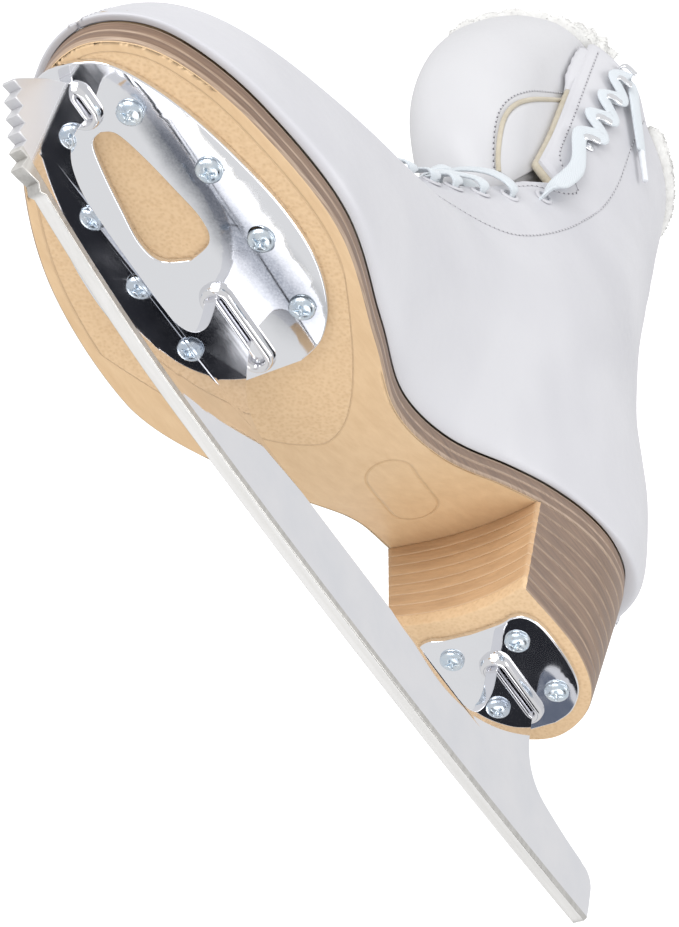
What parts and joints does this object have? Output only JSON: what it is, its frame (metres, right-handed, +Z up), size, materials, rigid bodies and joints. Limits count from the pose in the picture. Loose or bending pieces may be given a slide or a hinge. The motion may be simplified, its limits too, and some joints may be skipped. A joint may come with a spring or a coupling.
{
  "type": "ice skate",
  "caption": "Right white leather figure skate: stacked heel, steel blade with toe picks on two screwed plates, eyelets and hooks, folded-out padded tongue.",
  "frame": {"origin": "on the blade's middle plane, where the rocker touches the ice (the lowest point)", "axes": "+X to the toe, +Y to the inner side of the foot (the wearer's left), +Z up away from the ice"},
  "size_m": [0.2992, 0.0899, 0.316],
  "materials": {
    "blade_steel": "mirror polished sides, satin ground band along the edge",
    "plate_chrome": "mirror chrome",
    "screw_steel": "bluish zinc plating",
    "shank_steel": "plain",
    "hardware": "bright plating",
    "sole_leather": "tan, grained",
    "welt_leather": "brown stained edge, fibrous",
    "board": "plain fibre board",
    "stiffener": "plain",
    "white_leather": "smooth, slightly glossy",
    "lining_fabric": "brushed",
    "footbed_fabric": "brushed",
    "wool": "short pile",
    "lace_fabric": "flat woven",
    "tip_plastic": "clear wrap"
  },
  "bodies": {
    "skate": {"blade": "blade_steel", "front_plate": "plate_chrome", "heel_plate": "plate_chrome", "front_plate_screws": "screw_steel", "heel_plate_screws": "screw_steel", "outsole": "sole_leather", "midsole": "welt_leather", "heel_top_piece": "sole_leather", "heel_lift_1": "welt_leather", "heel_lift_2": "welt_leather", "heel_lift_3": "welt_leather", "heel_lift_4": "welt_leather", "heel_lift_5": "welt_leather", "heel_lift_6": "welt_leather", "heel_lift_7": "welt_leather", "shank": "shank_steel", "insole_board": "board", "footbed": "footbed_fabric", "upper_medial": "white_leather", "upper_lateral": "white_leather", "backstay": "white_leather", "toe_box": "stiffener", "heel_counter": "stiffener", "eyestay_medial": "stiffener", "eyestay_lateral": "stiffener", "lining": "lining_fabric", "collar_roll": "wool", "tongue_lower": "white_leather", "eyelets_medial": "hardware", "eyelets_lateral": "hardware", "hooks_medial": "hardware", "hooks_lateral": "hardware", "lace": "lace_fabric", "aglets": "tip_plastic"},
    "tongue_lobe": {"tongue_face": "white_leather", "tongue_wool": "wool", "tongue_patch": "white_leather"}
  },
  "joints": [
    {"name": "tongue_lean", "type": "hinge", "parent": "skate", "child": "tongue_lobe", "pos_m": [0.017, 0, 0.2], "axis": [0, 1, 0], "range_deg": [0, 32], "stiffness_Nm_per_rad": 0.5, "springref_deg": -11.46}
  ]
}
